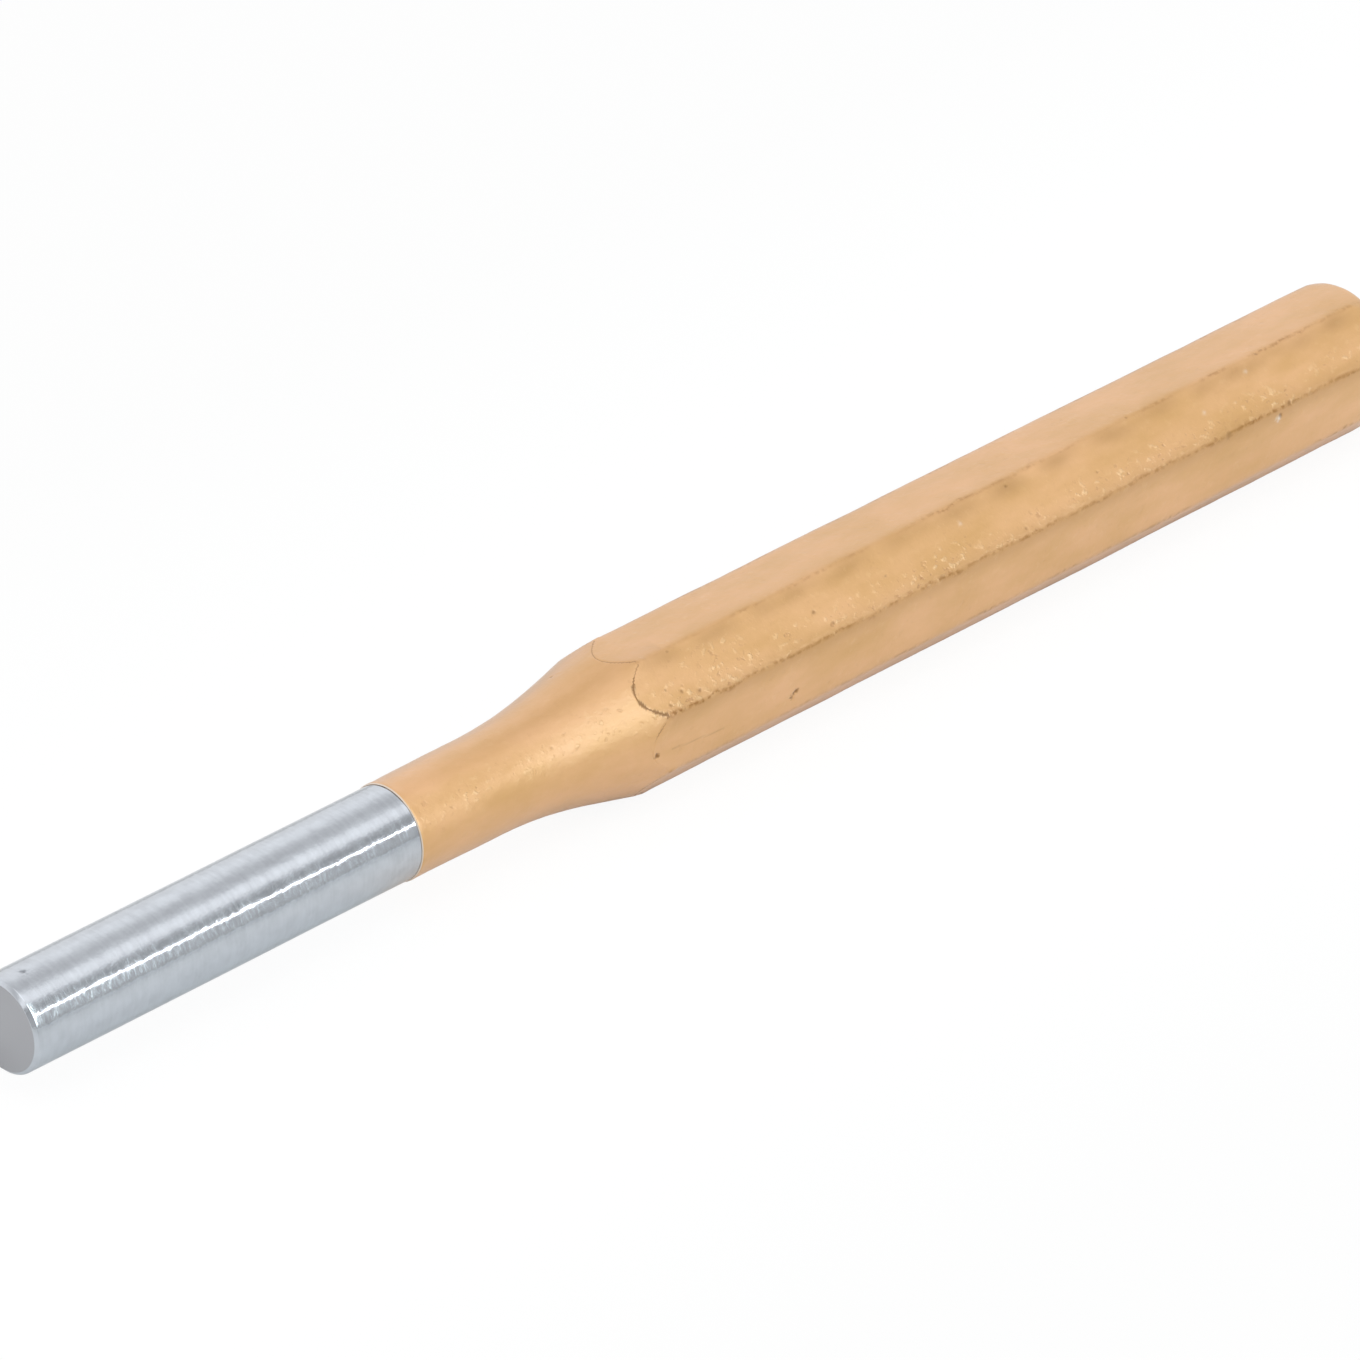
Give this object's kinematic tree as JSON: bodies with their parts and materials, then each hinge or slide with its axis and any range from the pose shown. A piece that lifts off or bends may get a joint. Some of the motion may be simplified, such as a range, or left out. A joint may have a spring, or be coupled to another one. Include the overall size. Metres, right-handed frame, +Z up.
{
  "type": "pin punch",
  "caption": "Parallel pin punch: octagonal lacquered shank, turned shoulder and neck, and a ground round tip for driving out pins.",
  "frame": {"origin": "on the surface that the punch lies on, under the middle of its whole length and width", "axes": "+X along the tool from the tip to the striking end, +Z up out of the flat that it lies on, +Y across it"},
  "size_m": [0.15, 0.0122, 0.0122],
  "materials": {
    "ground_steel": "hardened tool steel, ground bright round the tip",
    "gold_lacquer": "baked copper-gold metallic lacquer, satin, fine orange peel"
  },
  "bodies": {
    "root": {"steel_punch": "ground_steel", "lacquer_coat": "gold_lacquer"}
  },
  "joints": []
}
